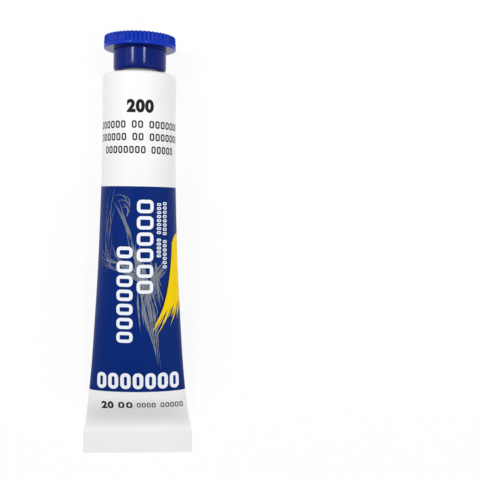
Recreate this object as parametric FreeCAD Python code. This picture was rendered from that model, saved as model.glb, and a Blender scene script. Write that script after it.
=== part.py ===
import FreeCAD, Part
import math
import os

# A 20 ml paint tube lying on its back, in millimetres.
#
# Row frame: X across the tube, +Y along it towards the cap, +Z up. The tube rests on the plane
# Z = 0, and the origin is the middle of its footprint. Turned pieces are drawn about their own
# axis, with stations counted from the rim plane of the sleeve towards the cap, and then laid
# along +Y.

Vec = FreeCAD.Vector

# Laminate sleeve: a round tube, curled over the shoulder and pressed flat at the tail
TUBE_RADIUS = 9.5
SLEEVE_LENGTH = 102.0
WALL = 0.35
RIM_CURL = 1.2
ROUND_LENGTH = 5.0
SEAL_LENGTH = 6.0
TAIL_CORNER = 0.8
SECTIONS = 12
CAVITY_START_DEG = 8.0
PAINT_START_DEG = 8.5

# Moulded shoulder and threaded neck
SHOULDER_WALL = 1.0
SHOULDER_SKIRT = 3.0
CONE_RISE = 0.6
NECK_RADIUS = 4.7
NECK_HEIGHT = 5.65
NECK_CHAMFER = 0.3
NOZZLE_RADIUS = 2.5

# Right-hand screw thread: one ridge on the neck and one in the cap
PITCH = 1.5
RIDGE_HEIGHT = 0.45
RIDGE_ROOT = 0.8
RIDGE_CREST = 0.4
RIDGE_EMBED = 0.1
THREAD_CLEARANCE = 0.2

# Membrane over the nozzle and wad disc in the cap
FOIL_THICKNESS = 0.1
FOIL_MARGIN = 0.1
LINER_THICKNESS = 0.7
LINER_SIDE_GAP = 0.2

# Mushroom cap
SKIRT_WALL = 1.45
SKIRT_EDGE = 0.5
FLANGE_RADIUS = 9.3
FLANGE_TOP_RADIUS = 9.15
FLANGE_HEIGHT = 3.2
LIP_HEIGHT = 0.55
FLUTES = 52
FLUTE_DEPTH = 0.26
PLATE = 0.9
DISH_DEPTH = 2.25
RIM_WALL = 1.4
SPIKE_HEIGHT = 2.0
SPIKE_RADIUS = 1.9
SPIKE_TIP_RADIUS = 0.3

# Clearances
WELD_GAP = 0.03
PAINT_GAP = 0.05
SEAT_GAP = 0.05
CAP_LIFT_OFF = 0.4

# Sizes that follow
CURL_CENTRE = TUBE_RADIUS - RIM_CURL
SHOULDER_OUTER = TUBE_RADIUS - WALL - WELD_GAP
SHOULDER_INNER = SHOULDER_OUTER - SHOULDER_WALL
SHOULDER_END = -RIM_CURL - SHOULDER_SKIRT
CONE_EDGE = CURL_CENTRE - WELD_GAP
CAP_BORE = NECK_RADIUS + RIDGE_HEIGHT + THREAD_CLEARANCE
CONE_SLOPE = CONE_RISE / (CONE_EDGE - NECK_RADIUS)
CAP_BOTTOM = CONE_SLOPE * (CONE_EDGE - CAP_BORE) + CAP_LIFT_OFF
SKIRT_RADIUS = CAP_BORE + SKIRT_WALL
FOIL_TOP = NECK_HEIGHT + FOIL_THICKNESS
LINER_BOTTOM = FOIL_TOP + SEAT_GAP
LINER_TOP = LINER_BOTTOM + LINER_THICKNESS
CAP_CEILING = LINER_TOP + SEAT_GAP
DISH_FLOOR = CAP_CEILING + PLATE
CAP_TOP = DISH_FLOOR + DISH_DEPTH
FLANGE_BOTTOM = CAP_TOP - FLANGE_HEIGHT
FLUTE_BOTTOM = FLANGE_BOTTOM + LIP_HEIGHT
NECK_RIDGE_START = CONE_RISE + RIDGE_ROOT
NECK_TURNS = (NECK_HEIGHT - NECK_CHAMFER - RIDGE_ROOT / 2 - NECK_RIDGE_START) / PITCH
CAP_RIDGE_START = NECK_RIDGE_START + PITCH / 2
CAP_TURNS = (LINER_BOTTOM - THREAD_CLEARANCE - RIDGE_ROOT / 2 - CAP_RIDGE_START) / PITCH
RIM_Y = (SLEEVE_LENGTH - CAP_TOP) / 2
TAPER_LENGTH = SLEEVE_LENGTH - ROUND_LENGTH - SEAL_LENGTH


def lay_along_y(shape):
    """Lays a piece drawn about its own axis along +Y, at the height of the tube's axis."""
    laid = shape.copy()
    laid.rotate(Vec(0, 0, 0), Vec(1, 0, 0), -90)
    laid.translate(Vec(0, RIM_Y, TUBE_RADIUS))
    return laid


def line(start, end):
    """A straight edge of a turned outline, between two (radius, station) points."""
    return Part.LineSegment(Vec(start[0], 0, start[1]), Vec(end[0], 0, end[1])).toShape()


def quarter_arc(centre, radius, start_deg):
    """A quarter circle of a turned outline that runs back from start_deg by 90 degrees."""
    points = []
    for turn in (0, 45, 90):
        angle = math.radians(start_deg - turn)
        points.append(Vec(centre[0] + radius * math.cos(angle), 0,
                          centre[1] + radius * math.sin(angle)))
    return Part.Arc(*points).toShape()


def lines(*points):
    """Straight edges through (radius, station) points."""
    return [line(start, end) for start, end in zip(points, points[1:])]


def turned(edges):
    """The solid that a closed outline of edges sweeps about the tube's axis."""
    face = Part.Face(Part.Wire(Part.__sortEdges__(edges)))
    return face.revolve(Vec(0, 0, 0), Vec(0, 0, 1), 360)


def turned_polygon(*points):
    """The solid that a closed outline of straight lines sweeps about the tube's axis."""
    return turned(lines(*points, points[0]))


def thread_ridge(root_radius, crest_radius, start, turns):
    """One helical ridge, with its flanks carried on a little way into the wall that bears it."""
    outward = 1 if crest_radius > root_radius else -1
    sunk_radius = root_radius - outward * RIDGE_EMBED
    half_crest = RIDGE_CREST / 2
    half_sunk = RIDGE_ROOT / 2 + (RIDGE_ROOT - RIDGE_CREST) / 2 * RIDGE_EMBED / RIDGE_HEIGHT
    section = Part.makePolygon([
        Vec(sunk_radius, 0, start - half_sunk),
        Vec(crest_radius, 0, start - half_crest),
        Vec(crest_radius, 0, start + half_crest),
        Vec(sunk_radius, 0, start + half_sunk),
        Vec(sunk_radius, 0, start - half_sunk),
    ])
    helix = Part.makeHelix(PITCH, PITCH * turns, root_radius)
    helix.translate(Vec(0, 0, start))
    return Part.Wire(helix.Edges).makePipeShell([section], True, True)


def ellipse_outline(half_width, half_depth):
    """Length of an ellipse's outline."""
    h = ((half_width - half_depth) / (half_width + half_depth)) ** 2
    return math.pi * (half_width + half_depth) * (1 + 3 * h / (10 + math.sqrt(4 - 3 * h)))


def flattened_half_width(half_depth):
    """Half-width of the sleeve where it is pressed to a depth, with its outline's length kept."""
    outline = 2 * math.pi * TUBE_RADIUS
    low = TUBE_RADIUS
    high = outline / 4
    while high - low > 1e-9:
        middle = (low + high) / 2
        if ellipse_outline(middle, half_depth) > outline:
            high = middle
        else:
            low = middle
    return max(high, half_depth)


def taper_section(phase_deg, inset):
    """The sleeve's elliptical section at a phase of the taper: 0 at the seal, 90 where it is round.

    The depth grows from the seal as a quarter ellipse. The underside stays on the table, so the
    centre of each section is as high as its half-depth.
    """
    phase = math.radians(phase_deg)
    half_depth = WALL + (TUBE_RADIUS - WALL) * math.sin(phase)
    half_width = flattened_half_width(half_depth)
    y = RIM_Y - SLEEVE_LENGTH + SEAL_LENGTH + TAPER_LENGTH * (1 - math.cos(phase))
    centre = Vec(0, y, half_depth)
    side = centre + Vec(half_width - inset, 0, 0)
    top = centre + Vec(0, 0, half_depth - inset)
    return Part.Wire(Part.Ellipse(side, top, centre).toShape())


def taper(start_deg, inset):
    """The solid inside the sleeve's tapering stretch, inset from its outer surface."""
    step = (90 - start_deg) / SECTIONS
    sections = [taper_section(start_deg + step * i, inset) for i in range(SECTIONS)]
    sections.append(taper_section(90, inset))
    return Part.makeLoft(sections, True)


def make_tube_sleeve():
    """The sleeve: seal strip, tapering stretch and round end with its rim curled inwards."""
    tail_y = RIM_Y - SLEEVE_LENGTH
    seal_width = 2 * flattened_half_width(WALL)
    strip = Part.makeBox(seal_width, SEAL_LENGTH, 2 * WALL, Vec(-seal_width / 2, tail_y, 0))
    tail_corners = [edge for edge in strip.Edges
                    if edge.BoundBox.ZLength > WALL and edge.BoundBox.YMax < tail_y + WALL]
    strip = strip.makeFillet(TAIL_CORNER, tail_corners)
    body = taper(0, 0).cut(taper(CAVITY_START_DEG, WALL))
    inner = TUBE_RADIUS - WALL
    round_end = turned(
        lines(
            (inner, -RIM_CURL),
            (inner, -ROUND_LENGTH),
            (TUBE_RADIUS, -ROUND_LENGTH),
            (TUBE_RADIUS, -RIM_CURL),
        )
        + [quarter_arc((CURL_CENTRE, -RIM_CURL), RIM_CURL, 90)]
        + [line((CURL_CENTRE, 0), (CURL_CENTRE, -WALL))]
        + [quarter_arc((CURL_CENTRE, -RIM_CURL), RIM_CURL - WALL, 90)]
    )
    return body.fuse([strip, lay_along_y(round_end)]).removeSplitter()


def make_shoulder_neck():
    """The moulding: skirt inside the sleeve, conical shoulder, and threaded neck with its nozzle."""
    arc_radius = SHOULDER_OUTER - CURL_CENTRE
    step_station = -RIM_CURL + arc_radius
    body = turned(
        [quarter_arc((CURL_CENTRE, -RIM_CURL), arc_radius, 90)]
        + lines(
            (CURL_CENTRE, step_station),
            (CONE_EDGE, step_station),
            (CONE_EDGE, 0),
            (NECK_RADIUS, CONE_RISE),
            (NECK_RADIUS, NECK_HEIGHT - NECK_CHAMFER),
            (NECK_RADIUS - NECK_CHAMFER, NECK_HEIGHT),
            (NOZZLE_RADIUS, NECK_HEIGHT),
            (NOZZLE_RADIUS, CONE_RISE - SHOULDER_WALL),
            (SHOULDER_INNER, -SHOULDER_WALL),
            (SHOULDER_INNER, SHOULDER_END),
            (SHOULDER_OUTER, SHOULDER_END),
            (SHOULDER_OUTER, -RIM_CURL),
        )
    )
    ridge = thread_ridge(NECK_RADIUS, NECK_RADIUS + RIDGE_HEIGHT, NECK_RIDGE_START, NECK_TURNS)
    return lay_along_y(body.fuse(ridge))


def make_neck_foil():
    """The membrane sealed over the nozzle's face."""
    radius = NECK_RADIUS - NECK_CHAMFER - FOIL_MARGIN
    return lay_along_y(Part.makeCylinder(radius, FOIL_THICKNESS, Vec(0, 0, NECK_HEIGHT)))


def make_cap_liner():
    """The wad disc that lies loose under the cap's ceiling."""
    radius = CAP_BORE - LINER_SIDE_GAP
    return lay_along_y(Part.makeCylinder(radius, LINER_THICKNESS, Vec(0, 0, LINER_BOTTOM)))


def flute_outline(radius, station):
    """A ring of round ribs with sharp valleys between them."""
    pitch = 2 * math.pi / FLUTES
    valley = radius - FLUTE_DEPTH

    def point(distance, angle):
        return Vec(distance * math.cos(angle), distance * math.sin(angle), station)

    ribs = []
    for i in range(FLUTES):
        ribs.append(Part.Arc(point(valley, pitch * i), point(radius, pitch * (i + 0.5)),
                             point(valley, pitch * (i + 1))).toShape())
    return Part.Wire(ribs)


def make_cap():
    """The mushroom cap: threaded skirt, fluted flange, and dished top with a piercing spike."""
    skirt_and_lip = turned(
        lines(
            (0, CAP_CEILING),
            (CAP_BORE, CAP_CEILING),
            (CAP_BORE, CAP_BOTTOM),
            (SKIRT_RADIUS - SKIRT_EDGE, CAP_BOTTOM),
        )
        + [quarter_arc((SKIRT_RADIUS - SKIRT_EDGE, CAP_BOTTOM + SKIRT_EDGE), SKIRT_EDGE, 0)]
        + lines(
            (SKIRT_RADIUS, CAP_BOTTOM + SKIRT_EDGE),
            (SKIRT_RADIUS, FLANGE_BOTTOM),
            (FLANGE_RADIUS, FLANGE_BOTTOM),
            (FLANGE_RADIUS, FLUTE_BOTTOM),
            (0, FLUTE_BOTTOM),
            (0, CAP_CEILING),
        )
    )
    fluted_rim = Part.makeLoft(
        [flute_outline(FLANGE_RADIUS, FLUTE_BOTTOM), flute_outline(FLANGE_TOP_RADIUS, CAP_TOP)],
        True, True)
    dish_radius = FLANGE_TOP_RADIUS - FLUTE_DEPTH - RIM_WALL
    dish = Part.makeCylinder(dish_radius, DISH_DEPTH, Vec(0, 0, DISH_FLOOR))
    spike = Part.makeCone(SPIKE_RADIUS, SPIKE_TIP_RADIUS, SPIKE_HEIGHT, Vec(0, 0, DISH_FLOOR))
    ridge = thread_ridge(CAP_BORE, CAP_BORE - RIDGE_HEIGHT, CAP_RIDGE_START, CAP_TURNS)
    return lay_along_y(skirt_and_lip.fuse(fluted_rim).cut(dish).fuse([spike, ridge]))


def make_paint_fill():
    """The paint: everything inside the sleeve, the shoulder and the nozzle."""
    body = taper(PAINT_START_DEG, WALL + PAINT_GAP)
    sleeve_radius = TUBE_RADIUS - WALL - PAINT_GAP
    shoulder_radius = SHOULDER_INNER - PAINT_GAP
    nozzle_radius = NOZZLE_RADIUS - PAINT_GAP
    head = turned_polygon(
        (0, -ROUND_LENGTH),
        (sleeve_radius, -ROUND_LENGTH),
        (sleeve_radius, SHOULDER_END - PAINT_GAP),
        (shoulder_radius, SHOULDER_END - PAINT_GAP),
        (shoulder_radius, -SHOULDER_WALL - PAINT_GAP),
        (nozzle_radius, CONE_RISE - SHOULDER_WALL - PAINT_GAP),
        (nozzle_radius, NECK_HEIGHT - PAINT_GAP),
        (0, NECK_HEIGHT - PAINT_GAP),
    )
    return body.fuse(lay_along_y(head)).removeSplitter()


PIECES = {
    "tube_sleeve": make_tube_sleeve,
    "shoulder_neck": make_shoulder_neck,
    "neck_foil": make_neck_foil,
    "cap_liner": make_cap_liner,
    "cap": make_cap,
    "paint_fill": make_paint_fill,
}

os.makedirs("parts", exist_ok=True)
for name, make in PIECES.items():
    piece = make()
    piece.exportStep(f"parts/{name}.step")
    print(f"{name}: {len(piece.Solids)} solid, {piece.Volume / 1000:.3f} ml, valid {piece.isValid()}")
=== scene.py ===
"""Looks of a paint tube: a printed laminate sleeve, its moulded closure, and a small studio."""

import logging
import math
import random
from dataclasses import dataclass, field
from enum import Enum
from typing import Sequence

import bmesh
import bpy
import numpy as np
from mathutils import Euler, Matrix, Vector, noise


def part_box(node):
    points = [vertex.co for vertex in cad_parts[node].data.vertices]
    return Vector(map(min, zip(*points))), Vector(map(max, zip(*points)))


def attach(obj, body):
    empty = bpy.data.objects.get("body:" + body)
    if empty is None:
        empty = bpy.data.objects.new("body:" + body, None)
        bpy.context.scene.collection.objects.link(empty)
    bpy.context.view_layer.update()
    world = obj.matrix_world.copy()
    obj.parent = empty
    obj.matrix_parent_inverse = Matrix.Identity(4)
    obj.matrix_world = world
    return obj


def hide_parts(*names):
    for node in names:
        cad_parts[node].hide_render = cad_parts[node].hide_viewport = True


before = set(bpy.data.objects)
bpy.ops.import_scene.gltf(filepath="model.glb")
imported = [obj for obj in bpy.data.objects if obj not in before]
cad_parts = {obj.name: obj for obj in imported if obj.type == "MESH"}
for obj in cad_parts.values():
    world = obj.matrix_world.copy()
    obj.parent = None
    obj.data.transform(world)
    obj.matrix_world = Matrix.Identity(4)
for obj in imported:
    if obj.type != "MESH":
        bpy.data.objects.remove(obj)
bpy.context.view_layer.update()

LOG = logging.getLogger("paint_tube")
MM = 0.001
SHARP_MOULDED = math.radians(35)
SHARP_INK = math.radians(40)

Socket = bpy.types.NodeSocket
Point = tuple[float, float]


def linear(hex_colour: str) -> tuple[float, float, float, float]:
    """Turns an sRGB colour into the linear one that shaders take.

    Args:
        hex_colour: Six hex digits after a hash sign.

    Returns:
        Red, green, blue and alpha.
    """
    parts = [int(hex_colour[i:i + 2], 16) / 255 for i in (1, 3, 5)]
    bent = [p / 12.92 if p <= 0.04045 else ((p + 0.055) / 1.055) ** 2.4 for p in parts]
    return bent[0], bent[1], bent[2], 1.0


def per_mm(size_mm: float) -> float:
    """Scale of a texture whose features are this many millimetres across."""
    return 1 / (size_mm * MM)


def waves_per_mm(period_mm: float) -> float:
    """Scale of a wave texture whose bands repeat every so many millimetres."""
    return per_mm(period_mm) * 2 * math.pi / 20


def add_node(tree: bpy.types.NodeTree, kind: str, settings: dict[str, object] | None = None,
             inputs: dict[str | int, object] | None = None) -> bpy.types.Node:
    """Adds a node, sets its properties, and sets or links its inputs.

    Args:
        tree: Node tree that the node goes in.
        kind: Blender's name of the node type.
        settings: Properties of the node itself.
        inputs: A value, or the output socket to link, for each input by its name or number.

    Returns:
        The new node.
    """
    node = tree.nodes.new(kind)
    for name, value in (settings or {}).items():
        setattr(node, name, value)
    for key, value in (inputs or {}).items():
        if isinstance(value, Socket):
            tree.links.new(value, node.inputs[key])
        else:
            node.inputs[key].default_value = value
    return node


# --------------------------------------------------------------------------------------
# Finishes
# --------------------------------------------------------------------------------------


@dataclass(frozen=True)
class Finish:
    """A surface as its maker would call it: a colour with mottle, a gloss and a fine relief.

    Attributes:
        name: Name of the material.
        colour: Base colour, sRGB hex.
        roughness: Mean roughness of the surface.
        ior: Index of refraction.
        metallic: 1 for bare metal.
        specular: Strength of the reflection, as Principled's specular level.
        mottle: Share by which the colour darkens in its patches.
        mottle_mm: Width of those patches.
        relief_mm: Width of the bumps of the fine relief.
        relief_depth_mm: Depth of the fine relief.
        rough_spread: How far the roughness wanders to either side.
    """

    name: str
    colour: str
    roughness: float
    ior: float = 1.5
    metallic: float = 0.0
    specular: float = 0.5
    mottle: float = 0.05
    mottle_mm: float = 4.0
    relief_mm: float = 0.5
    relief_depth_mm: float = 0.004
    rough_spread: float = 0.05

    def height(self, tree: bpy.types.NodeTree, place: Socket) -> Socket:
        """Height of the relief, from 0 to 1.

        Args:
            tree: Node tree of the material.
            place: Object coordinates in metres.

        Returns:
            Socket with the height.
        """
        return add_node(tree, "ShaderNodeTexNoise", {}, {
            "Vector": place, "Scale": per_mm(self.relief_mm), "Detail": 3.0}).outputs[0]

    def tone(self, tree: bpy.types.NodeTree, place: Socket) -> Socket:
        """Where the colour is darker, from 0 to 1.

        Args:
            tree: Node tree of the material.
            place: Object coordinates in metres.

        Returns:
            Socket with the share of the darker colour.
        """
        return add_node(tree, "ShaderNodeTexNoise", {}, {
            "Vector": place, "Scale": per_mm(self.mottle_mm), "Detail": 4.0}).outputs[0]

    def material(self) -> bpy.types.Material:
        """Builds the material, once per name.

        Returns:
            The material with its nodes.
        """
        made = bpy.data.materials.get(self.name)
        if made:
            return made
        made = bpy.data.materials.new(self.name)
        made.use_nodes = True
        made.diffuse_color = linear(self.colour)
        tree = made.node_tree
        tree.nodes.clear()
        place = add_node(tree, "ShaderNodeTexCoord").outputs["Object"]
        base = linear(self.colour)
        deep = tuple(c * (1 - self.mottle) for c in base[:3]) + (1.0,)
        colour = add_node(tree, "ShaderNodeMix", {"data_type": "RGBA"}, {
            "Factor": self.tone(tree, place), 6: base, 7: deep})
        wander = add_node(tree, "ShaderNodeTexNoise", {}, {
            "Vector": place, "Scale": per_mm(self.mottle_mm * 0.7), "Detail": 2.0})
        gloss = add_node(tree, "ShaderNodeMapRange", {}, {
            "Value": wander.outputs[0],
            "From Min": 0.3, "From Max": 0.7,
            "To Min": max(0.02, self.roughness - self.rough_spread),
            "To Max": self.roughness + self.rough_spread})
        bump = add_node(tree, "ShaderNodeBump", {}, {
            "Height": self.height(tree, place), "Strength": 1.0,
            "Distance": self.relief_depth_mm * MM})
        shader = add_node(tree, "ShaderNodeBsdfPrincipled", {}, {
            "Base Color": colour.outputs[2], "Roughness": gloss.outputs[0],
            "Normal": bump.outputs[0], "Metallic": self.metallic,
            "Specular IOR Level": self.specular})
        if not self.metallic:
            shader.inputs["IOR"].default_value = self.ior
        add_node(tree, "ShaderNodeOutputMaterial", {}, {"Surface": shader.outputs[0]})
        return made

    def dress(self, piece: bpy.types.Object) -> None:
        """Gives a piece this finish all over."""
        piece.data.materials.clear()
        piece.data.materials.append(self.material())


@dataclass(frozen=True)
class CrimpedFinish(Finish):
    """Laminate under the jaws of the tail sealer, which leave fine ribs across the strip.

    Attributes:
        rib_mm: Spacing of the ribs.
    """

    rib_mm: float = 0.8

    def height(self, tree: bpy.types.NodeTree, place: Socket) -> Socket:
        """Height of the ribs, which run across the tube.

        Args:
            tree: Node tree of the material.
            place: Object coordinates in metres.

        Returns:
            Socket with the height.
        """
        return add_node(tree, "ShaderNodeTexWave", {"bands_direction": "Y"}, {
            "Vector": place, "Scale": waves_per_mm(self.rib_mm),
            "Distortion": 0.4, "Detail": 1.0}).outputs[1]


@dataclass(frozen=True)
class TurnedFinish(Finish):
    """Plastic from a turned steel mould: rings round the tube's axis under a fine spark grain.

    Attributes:
        ring_mm: Spacing of the rings.
        ring_share: Share of the rings in the relief, against the spark grain.
        axis_height: Height of the tube's axis, in metres.
    """

    ring_mm: float = 0.4
    ring_share: float = 0.35
    axis_height: float = 0.0095

    def height(self, tree: bpy.types.NodeTree, place: Socket) -> Socket:
        """Height of the tool's rings, mixed with the spark grain.

        Args:
            tree: Node tree of the material.
            place: Object coordinates in metres.

        Returns:
            Socket with the height.
        """
        centred = add_node(tree, "ShaderNodeVectorMath", {"operation": "SUBTRACT"}, {
            0: place, 1: (0.0, 0.0, self.axis_height)})
        rings = add_node(tree, "ShaderNodeTexWave", {
            "wave_type": "RINGS", "rings_direction": "Y"}, {
            "Vector": centred.outputs[0], "Scale": waves_per_mm(self.ring_mm),
            "Distortion": 0.6, "Detail": 2.0})
        grain = super().height(tree, place)
        mixed = add_node(tree, "ShaderNodeMix", {"data_type": "FLOAT"}, {
            0: self.ring_share, 2: grain, 3: rings.outputs[1]})
        return mixed.outputs[0]


@dataclass(frozen=True)
class PaintedRimLightFinish(TurnedFinish):
    """Turned plastic with painted shade and light: dark near the axis and over the skirt, pale at
    the flange's rim.

    Attributes:
        core_mm: Distance from the axis out to which the painted shade is at its darkest.
        rim_mm: Distance from the axis where the colour is at its palest, as painted light.
        rim_tone: Share of the darker colour that stays at the rim.
        cloud: Share of the moulding's own cloudiness in the tone.
    """

    core_mm: float = 7.8
    rim_mm: float = 9.2
    rim_tone: float = 0.1
    cloud: float = 0.2

    def tone(self, tree: bpy.types.NodeTree, place: Socket) -> Socket:
        """Painted shade, dark at the core and pale at the rim as painted light, with the
        moulding's own cloudiness.

        Args:
            tree: Node tree of the material.
            place: Object coordinates in metres.

        Returns:
            Socket with the share of the darker colour.
        """
        centred = add_node(tree, "ShaderNodeVectorMath", {"operation": "MULTIPLY_ADD"}, {
            0: place, 1: (1.0, 0.0, 1.0), 2: (0.0, 0.0, -self.axis_height)})
        out = add_node(tree, "ShaderNodeVectorMath", {"operation": "LENGTH"}, {
            0: centred.outputs[0]})
        # Painted shade: darkest inside core_mm of the axis, over the skirt, and palest at rim_mm,
        # the flange's rim, as painted light.
        thick = add_node(tree, "ShaderNodeMapRange", {"interpolation_type": "SMOOTHSTEP"}, {
            "Value": out.outputs["Value"], "From Min": self.core_mm * MM,
            "From Max": self.rim_mm * MM, "To Min": 1.0, "To Max": self.rim_tone})
        cloudy = super().tone(tree, place)
        # The painted shade's share of the tone; the moulding's cloudiness has the rest.
        clear = add_node(tree, "ShaderNodeMath", {"operation": "MULTIPLY"}, {
            0: thick.outputs[0], 1: 1 - self.cloud})
        return add_node(tree, "ShaderNodeMath", {"operation": "MULTIPLY_ADD"}, {
            0: cloudy, 1: self.cloud, 2: clear.outputs[0]}).outputs[0]


@dataclass(frozen=True)
class CellFinish(Finish):
    """Closed-cell foam, with a bubble of its own size under each bump."""

    def height(self, tree: bpy.types.NodeTree, place: Socket) -> Socket:
        """Height of the cells' skins.

        Args:
            tree: Node tree of the material.
            place: Object coordinates in metres.

        Returns:
            Socket with the height.
        """
        return add_node(tree, "ShaderNodeTexVoronoi", {}, {
            "Vector": place, "Scale": per_mm(self.relief_mm)}).outputs[0]


@dataclass(frozen=True)
class StreakFinish(Finish):
    """Paint laid with a dry brush: its tone runs in streaks along the tube.

    Attributes:
        stretch: How many times longer a streak is than it is wide.
    """

    stretch: float = 9.0

    def tone(self, tree: bpy.types.NodeTree, place: Socket) -> Socket:
        """Streaks of thick and thin paint.

        Args:
            tree: Node tree of the material.
            place: Object coordinates in metres.

        Returns:
            Socket with the share of the darker colour.
        """
        drawn_out = add_node(tree, "ShaderNodeMapping", {}, {
            "Vector": place, "Scale": (1.0, 1 / self.stretch, 1.0)})
        streaks = add_node(tree, "ShaderNodeTexNoise", {}, {
            "Vector": drawn_out.outputs[0], "Scale": per_mm(self.mottle_mm), "Detail": 5.0,
            "Roughness": 0.7})
        return add_node(tree, "ShaderNodeMapRange", {}, {
            "Value": streaks.outputs[0], "From Min": 0.35, "From Max": 0.65}).outputs[0]


class Palette:
    """The finishes that the tube is made of."""

    # Extruded polyethylene laminate, white through and through, with a satin skin from the
    # polished chill roll. It gives soft, wide highlights.
    LAMINATE = Finish("laminate_white_polyethylene", "#f0f0ef", 0.40, ior=1.5, specular=0.22,
                      mottle=0.035, mottle_mm=9.0, relief_mm=1.4, relief_depth_mm=0.006)
    # The same laminate crushed by heated jaws: flatter, a shade more matt, finely ribbed.
    SEAL = CrimpedFinish("laminate_white_heat_sealed", "#ebebea", 0.46, specular=0.22, mottle=0.04,
                         mottle_mm=5.0, relief_depth_mm=0.008)
    # Flexo-printed blue ink under a matt lacquer: deep and even, with only a faint sheen.
    BLUE_PRINT = Finish("flexo_ink_blue_lacquered", "#042874", 0.38, ior=1.5, specular=0.06,
                        mottle=0.16, mottle_mm=2.5, relief_mm=1.2, relief_depth_mm=0.005)
    # Screen inks on the laminate: nearly matt, and a few hundredths of a millimetre proud.
    BLACK_INK = Finish("screen_ink_black", "#121215", 0.45, specular=0.1, mottle=0.25,
                       mottle_mm=0.8, relief_mm=0.25, relief_depth_mm=0.002)
    WHITE_INK = Finish("screen_ink_white", "#edf0f6", 0.45, mottle=0.07, mottle_mm=0.8,
                       relief_mm=0.25, relief_depth_mm=0.002)
    YELLOW_INK = StreakFinish("screen_ink_yellow", "#fbd604", 0.45, specular=0.05, mottle=0.09,
                              mottle_mm=0.45, relief_mm=0.3, relief_depth_mm=0.004)
    GREY_INK = StreakFinish("screen_ink_grey", "#8f969f", 0.5, specular=0.1, mottle=0.65,
                            mottle_mm=0.3, relief_mm=0.25, relief_depth_mm=0.003)
    SHADE_INK = Finish("screen_ink_dark_blue", "#061340", 0.42, specular=0.06, mottle=0.3,
                       mottle_mm=0.7, relief_mm=0.3, relief_depth_mm=0.002)
    # Injection-moulded polyethylene: waxy white with a faint turned texture from the mould.
    POLYETHYLENE = TurnedFinish("polyethylene_white_moulded", "#eeeeea", 0.42, ior=1.52,
                                mottle=0.05, relief_mm=0.3, relief_depth_mm=0.003)
    # Injection-moulded polypropylene from a polished mould: saturated blue and glossy. Its colour
    # carries
    # # painted shade, dark over the skirt and core, and is pale at the flange's rim as painted
    # light; the mottle sets how dark the painted shade goes.
    POLYPROPYLENE = PaintedRimLightFinish("polypropylene_blue_moulded", "#0e36ba", 0.13, ior=1.49,
                                  specular=0.1, mottle=0.76, mottle_mm=3.0, relief_mm=0.35,
                                  relief_depth_mm=0.001, rough_spread=0.03)
    # Rolled aluminium membrane with a heat-seal lacquer: bright, slightly crumpled.
    FOIL = Finish("aluminium_foil_rolled", "#d3d4d6", 0.28, metallic=1.0, mottle=0.08,
                  mottle_mm=1.0, relief_mm=1.2, relief_depth_mm=0.02)
    # Expanded polyethylene wad: matt off-white with closed cells a third of a millimetre wide.
    FOAM = CellFinish("polyethylene_foam_wad", "#e6e5df", 0.7, ior=1.5, mottle=0.08,
                      mottle_mm=0.8, relief_mm=0.33, relief_depth_mm=0.03)
    # Wet acrylic paint: white pigment in a glossy binder that keeps the flow of its filling.
    PAINT = Finish("acrylic_paint_white_wet", "#f4f4f1", 0.16, ior=1.49, mottle=0.03,
                   mottle_mm=3.0, relief_mm=2.5, relief_depth_mm=0.03)


# --------------------------------------------------------------------------------------
# The sleeve's form
# --------------------------------------------------------------------------------------


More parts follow.
